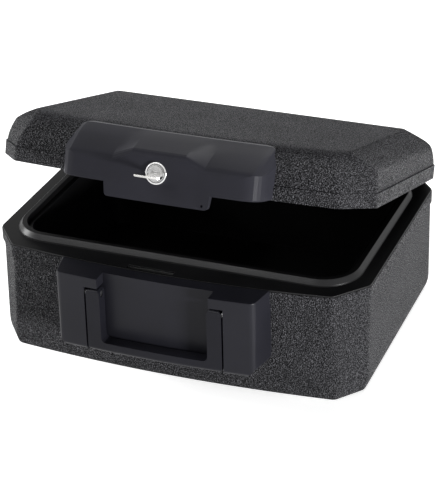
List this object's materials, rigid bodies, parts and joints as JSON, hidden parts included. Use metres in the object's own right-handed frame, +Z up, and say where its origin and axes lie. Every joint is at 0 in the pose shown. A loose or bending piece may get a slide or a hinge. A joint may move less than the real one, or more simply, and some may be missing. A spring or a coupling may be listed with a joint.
{
  "type": "fire-resistant document chest",
  "caption": "Portable fire-resistant document chest with hinged insulated lid, key lock in a front cover, fold-out carry handle and deep storage space.",
  "frame": {"origin": "on the surface the chest stands on, in the middle of its width and halfway between the front corners and the rear wall", "axes": "+X to the chest's right as seen from its front, +Y from the front with the lock to the rear with the hinges, +Z up"},
  "size_m": [0.365, 0.3173, 0.2308],
  "materials": {
    "shell_plastic": "matte",
    "moulding_plastic": "satin",
    "liner_plastic": "satin",
    "insulation": "matte",
    "hinge_metal": "satin",
    "pin_steel": "satin",
    "screw_steel": "satin",
    "plate_steel": "satin",
    "lock_chrome": "polished",
    "key_metal": "satin"
  },
  "bodies": {
    "base": {"base_shell": "shell_plastic", "base_fill": "insulation", "base_liner": "liner_plastic", "front_housing": "moulding_plastic", "handle_pin_left": "pin_steel", "handle_pin_right": "pin_steel", "strike_plate": "plate_steel", "strike_screws": "screw_steel", "cam_box": "liner_plastic", "hinge_base_left": "hinge_metal", "hinge_base_right": "hinge_metal", "hinge_base_screws": "screw_steel", "hinge_pin_left": "pin_steel", "hinge_pin_right": "pin_steel"},
    "lid": {"lid_shell": "shell_plastic", "lid_fill": "insulation", "lid_liner": "liner_plastic", "hinge_lid_left": "hinge_metal", "hinge_lid_right": "hinge_metal", "hinge_lid_screws": "screw_steel", "lock_cover": "moulding_plastic", "lock_barrel": "lock_chrome", "lock_washer": "plate_steel", "lock_nut": "plate_steel"},
    "plug": {"lock_plug": "lock_chrome", "lock_cam": "plate_steel", "cam_screw": "screw_steel"},
    "key": {"key": "key_metal"},
    "handle": {"handle": "moulding_plastic"}
  },
  "joints": [
    {"name": "lid_hinge", "type": "hinge", "parent": "base", "child": "lid", "pos_m": [0, 0.1353, 0.0914], "axis": [-1, 0, 0], "range_deg": [-17.15, 75]},
    {"name": "lock_turn", "type": "hinge", "parent": "lid", "child": "plug", "pos_m": [0, -0.14581, 0.2131], "axis": [0, -0.9555, 0.2949], "range_deg": [0, 90]},
    {"name": "key_pull", "type": "slide", "parent": "plug", "child": "key", "axis": [0, -0.9555, 0.2949], "range_m": [0, 0.022]},
    {"name": "handle_swing", "type": "hinge", "parent": "base", "child": "handle", "pos_m": [0, -0.16164, 0.092], "axis": [-1, 0, 0], "range_deg": [0, 90]}
  ]
}
